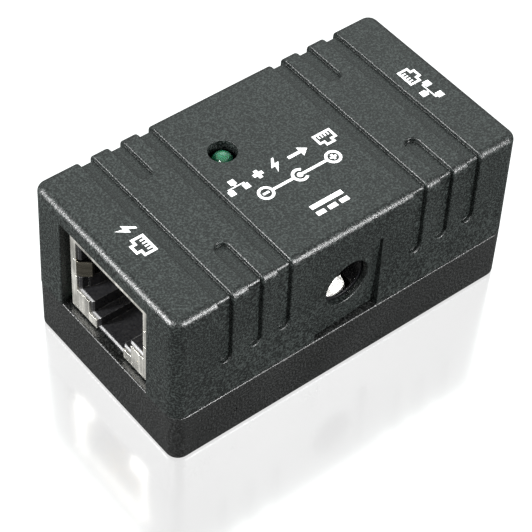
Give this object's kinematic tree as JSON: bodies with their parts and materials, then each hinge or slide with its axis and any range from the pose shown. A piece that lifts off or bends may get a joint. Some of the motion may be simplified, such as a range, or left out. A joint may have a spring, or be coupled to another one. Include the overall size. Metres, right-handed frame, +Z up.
{
  "type": "poe injector",
  "caption": "Small black two-part plastic box with a shielded eight-way network jack at each end, a barrel power jack on one long side and a green lamp on top.",
  "frame": {"origin": "middle of the underside of the box, on the surface it rests on", "axes": "+X along the box towards the plain network jack, -X towards the powered one; -Y towards the barrel jack; +Z up through the lamp side"},
  "size_m": [0.055, 0.03, 0.0256],
  "materials": {
    "upper_shell_plastic": "fine spark-eroded matte",
    "lower_shell_plastic": "fine spark-eroded matte",
    "board_laminate": "glossy solder mask on glass laminate",
    "solder": "bright solder",
    "tinned_sheet": "tin-plated, slightly brushed",
    "spring_bronze": "plated bronze strip",
    "jack_plastic": "black moulded, satin",
    "jack_insert_plastic": "black moulded, satin",
    "gold_wire": "gold flash",
    "barrel_jack_plastic": "black moulded, semi-gloss",
    "pin_brass": "nickel-plated brass",
    "leaf_metal": "nickel-plated spring strip",
    "lug_metal": "tin-plated",
    "green_lens": "green diffused epoxy",
    "lamp_lead_metal": "tinned",
    "lamp_chip": "semiconductor die",
    "resistor_ceramic": "glazed black film over ceramic",
    "resistor_caps": "tinned end caps",
    "white_ink": "white pad-printed ink, drawn in the visual model only"
  },
  "bodies": {
    "housing_and_board": {"bottom_shell": "lower_shell_plastic", "circuit_board": "board_laminate", "dc_centre_pin": "pin_brass", "dc_jack_case": "barrel_jack_plastic", "dc_pin_terminal": "lug_metal", "dc_sleeve_terminal": "leaf_metal", "dc_solder_joints": "solder", "dc_switch_terminal": "lug_metal", "lamp_anode_lead": "lamp_lead_metal", "lamp_cathode_lead": "lamp_lead_metal", "lamp_chip": "lamp_chip", "lamp_lens": "green_lens", "lamp_solder_joints": "solder", "lan_contact_tails": "gold_wire", "lan_jack_case": "jack_plastic", "lan_jack_insert": "jack_insert_plastic", "lan_jack_shield": "tinned_sheet", "lan_solder_joints": "solder", "poe_contact_tails": "gold_wire", "poe_jack_case": "jack_plastic", "poe_jack_insert": "jack_insert_plastic", "poe_jack_shield": "tinned_sheet", "poe_solder_joints": "solder", "resistor_body": "resistor_ceramic", "resistor_end_caps": "resistor_caps", "top_shell": "upper_shell_plastic"},
    "poe_contact_set": {"poe_contact_1": "gold_wire", "poe_contact_2": "gold_wire", "poe_contact_3": "gold_wire", "poe_contact_4": "gold_wire", "poe_contact_5": "gold_wire", "poe_contact_6": "gold_wire", "poe_contact_7": "gold_wire", "poe_contact_8": "gold_wire"},
    "poe_ground_spring_left_body": {"poe_ground_spring_left": "spring_bronze"},
    "poe_ground_spring_right_body": {"poe_ground_spring_right": "spring_bronze"},
    "lan_contact_set": {"lan_contact_1": "gold_wire", "lan_contact_2": "gold_wire", "lan_contact_3": "gold_wire", "lan_contact_4": "gold_wire", "lan_contact_5": "gold_wire", "lan_contact_6": "gold_wire", "lan_contact_7": "gold_wire", "lan_contact_8": "gold_wire"},
    "lan_ground_spring_left_body": {"lan_ground_spring_left": "spring_bronze"},
    "lan_ground_spring_right_body": {"lan_ground_spring_right": "spring_bronze"},
    "dc_sleeve_spring_body": {"dc_sleeve_spring": "leaf_metal"}
  },
  "joints": [
    {"name": "poe_contact_flex", "type": "hinge", "parent": "housing_and_board", "child": "poe_contact_set", "pos_m": [-0.024, 0, 0.0203], "axis": [0, -1, 0], "range_deg": [0, 14], "stiffness_Nm_per_rad": 0.12},
    {"name": "poe_ground_spring_left_flex", "type": "hinge", "parent": "housing_and_board", "child": "poe_ground_spring_left_body", "pos_m": [-0.02623, 0.007, 0.0161], "axis": [0, 0, 1], "range_deg": [0, 8], "stiffness_Nm_per_rad": 0.01},
    {"name": "poe_ground_spring_right_flex", "type": "hinge", "parent": "housing_and_board", "child": "poe_ground_spring_right_body", "pos_m": [-0.02623, -0.007, 0.0161], "axis": [0, 0, -1], "range_deg": [0, 8], "stiffness_Nm_per_rad": 0.01},
    {"name": "lan_contact_flex", "type": "hinge", "parent": "housing_and_board", "child": "lan_contact_set", "pos_m": [0.024, 0, 0.0203], "axis": [0, 1, 0], "range_deg": [0, 14], "stiffness_Nm_per_rad": 0.12},
    {"name": "lan_ground_spring_left_flex", "type": "hinge", "parent": "housing_and_board", "child": "lan_ground_spring_left_body", "pos_m": [0.02623, -0.007, 0.0161], "axis": [0, 0, 1], "range_deg": [0, 8], "stiffness_Nm_per_rad": 0.01},
    {"name": "lan_ground_spring_right_flex", "type": "hinge", "parent": "housing_and_board", "child": "lan_ground_spring_right_body", "pos_m": [0.02623, 0.007, 0.0161], "axis": [0, 0, -1], "range_deg": [0, 8], "stiffness_Nm_per_rad": 0.01},
    {"name": "dc_sleeve_spring_flex", "type": "hinge", "parent": "housing_and_board", "child": "dc_sleeve_spring_body", "pos_m": [-0.00025, -0.0034, 0.01125], "axis": [1, 0, 0], "range_deg": [0, 4], "stiffness_Nm_per_rad": 0.05}
  ]
}
